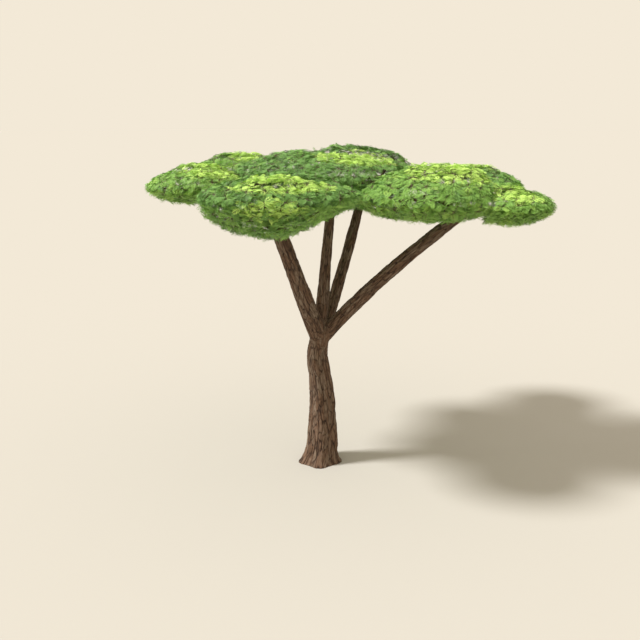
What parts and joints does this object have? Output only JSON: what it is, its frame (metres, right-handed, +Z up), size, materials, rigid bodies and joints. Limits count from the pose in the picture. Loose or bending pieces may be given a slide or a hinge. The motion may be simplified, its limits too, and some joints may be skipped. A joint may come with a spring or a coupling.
{
  "type": "umbrella acacia tree",
  "caption": "Umbrella acacia with a stout leaning trunk, long forked boughs and one wide, flat, layered crown of feathery foliage.",
  "frame": {"origin": "centre of the flat cut under the trunk, at ground level", "axes": "+Z up from the ground; -Y towards the front of the tree as the picture shows it; +X towards the long bough, at the right of the picture"},
  "size_m": [8.5477, 7.1237, 7.1489],
  "materials": {
    "bark": "rough fissured bark",
    "dark_foliage": "matte dark green leaves",
    "mid_foliage": "matte mid green leaves"
  },
  "bodies": {
    "root": {"trunk": "bark", "bough_front_left": "bark", "bough_centre": "bark", "bough_back": "bark", "bough_right": "bark", "limb_far_left": "bark", "limb_back_left": "bark", "limb_back_right": "bark", "limb_far_right": "bark", "foliage_front_left": "dark_foliage", "foliage_far_left": "mid_foliage", "foliage_back_left": "mid_foliage", "foliage_centre": "dark_foliage", "foliage_right": "mid_foliage", "foliage_far_right": "mid_foliage", "foliage_back_right": "dark_foliage", "foliage_back": "dark_foliage"}
  },
  "joints": []
}
